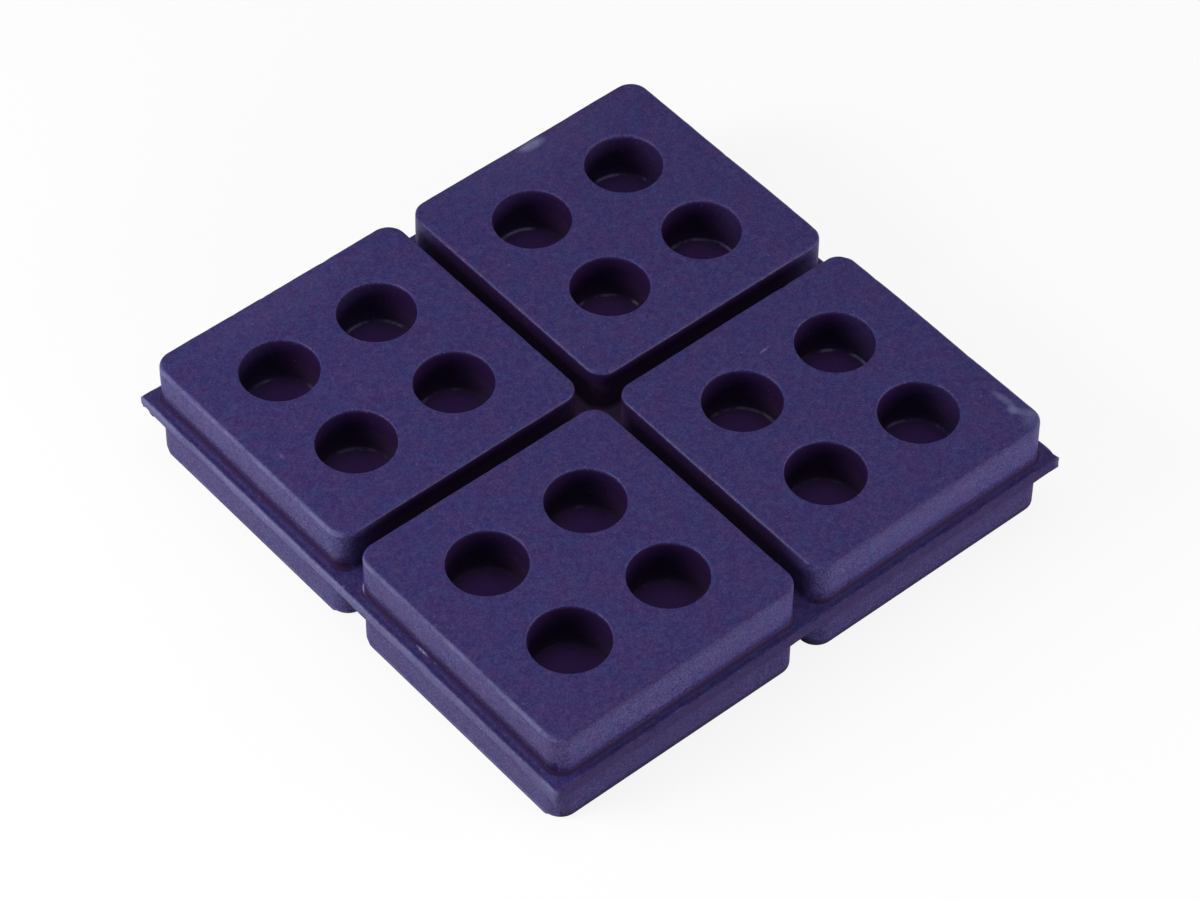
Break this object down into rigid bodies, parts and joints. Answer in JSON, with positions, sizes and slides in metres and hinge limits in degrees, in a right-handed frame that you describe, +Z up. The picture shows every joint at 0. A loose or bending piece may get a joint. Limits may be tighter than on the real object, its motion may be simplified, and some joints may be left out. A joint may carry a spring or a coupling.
{
  "type": "anti-vibration machine pad",
  "caption": "Square moulded rubber pad of raised blocks on a thin web, with grooves between them and round blind wells in the blocks, to rest a machine on and damp its vibration.",
  "frame": {"origin": "centre of the pad on the plane of its bottom faces", "axes": "+Z up through the pad's thickness towards the faces with the wells; X and Y along its sides"},
  "size_m": [0.1016, 0.1016, 0.0191],
  "materials": {
    "rubber": "matte moulded rubber, dark indigo"
  },
  "bodies": {
    "root": {"rubber_pad": "rubber"}
  },
  "joints": []
}
